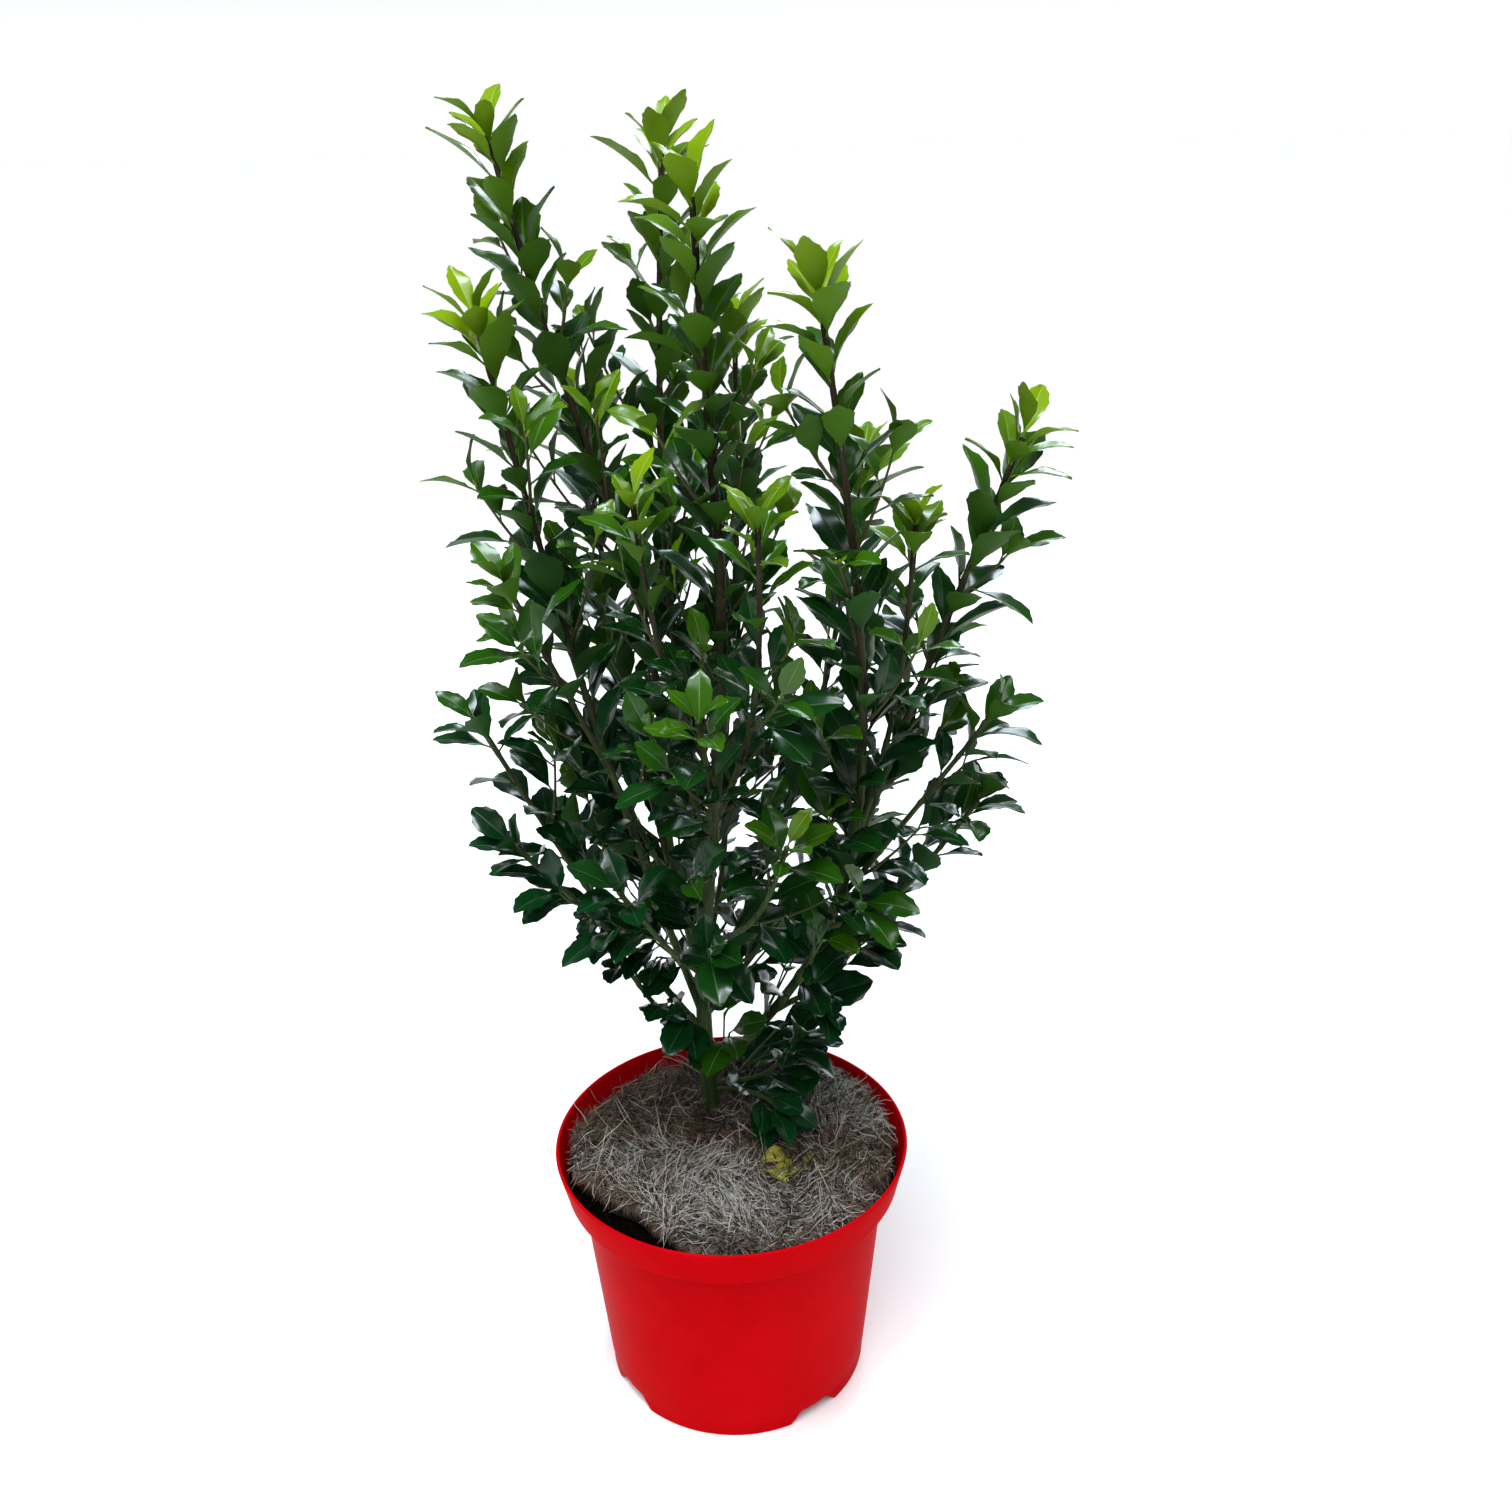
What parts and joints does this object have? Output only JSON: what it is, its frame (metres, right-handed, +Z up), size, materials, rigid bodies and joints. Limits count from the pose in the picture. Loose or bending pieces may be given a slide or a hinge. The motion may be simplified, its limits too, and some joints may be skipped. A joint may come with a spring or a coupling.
{
  "type": "potted holly shrub",
  "caption": "Young upright blue holly with a dense bushy crown of glossy toothed leaves, growing in a round plastic nursery pot topped with a fibre mat.",
  "frame": {"origin": "centre of the flat pad under the pot", "axes": "+Z up along the pot's axis, -Y towards the side that the picture was taken from, +X to the right in the picture"},
  "size_m": [0.3475, 0.2723, 0.7742],
  "materials": {
    "red_plastic": "satin moulded plastic",
    "soil": "dark moist potting compost",
    "grey_fibre": "dry loose plant fibre",
    "green_bark": "smooth young green bark",
    "brown_bark": "smooth reddish brown bark",
    "holly_leaf": "glossy evergreen leaves"
  },
  "bodies": {
    "root": {"bough_back_left": "brown_bark", "bough_back_low": "brown_bark", "bough_back_low_left": "brown_bark", "bough_back_low_right": "brown_bark", "bough_back_mid": "brown_bark", "bough_back_right": "brown_bark", "bough_back_tall": "brown_bark", "bough_centre_mid": "brown_bark", "bough_far_left": "brown_bark", "bough_front_left_low": "brown_bark", "bough_front_low": "brown_bark", "bough_front_mid": "brown_bark", "bough_left": "brown_bark", "bough_left_base": "brown_bark", "bough_left_side": "brown_bark", "bough_left_tall": "brown_bark", "bough_low_left": "brown_bark", "bough_mid_left": "brown_bark", "bough_right": "brown_bark", "bough_right_base": "brown_bark", "bough_right_front": "brown_bark", "bough_right_low": "brown_bark", "bough_right_mid": "brown_bark", "bough_right_side": "brown_bark", "fibre_mat": "grey_fibre", "mass_back_left": "holly_leaf", "mass_back_low": "holly_leaf", "mass_back_low_left": "holly_leaf", "mass_back_low_right": "holly_leaf", "mass_back_mid": "holly_leaf", "mass_back_right": "holly_leaf", "mass_back_tall": "holly_leaf", "mass_centre_mid": "holly_leaf", "mass_crown": "holly_leaf", "mass_far_left": "holly_leaf", "mass_front_left_low": "holly_leaf", "mass_front_low": "holly_leaf", "mass_front_mid": "holly_leaf", "mass_left": "holly_leaf", "mass_left_base": "holly_leaf", "mass_left_side": "holly_leaf", "mass_left_tall": "holly_leaf", "mass_low_left": "holly_leaf", "mass_mid_left": "holly_leaf", "mass_right": "holly_leaf", "mass_right_base": "holly_leaf", "mass_right_front": "holly_leaf", "mass_right_low": "holly_leaf", "mass_right_mid": "holly_leaf", "mass_right_side": "holly_leaf", "mass_shoot_front": "holly_leaf", "mass_shoot_right": "holly_leaf", "pot": "red_plastic", "root_ball": "soil", "trunk": "green_bark"}
  },
  "joints": []
}
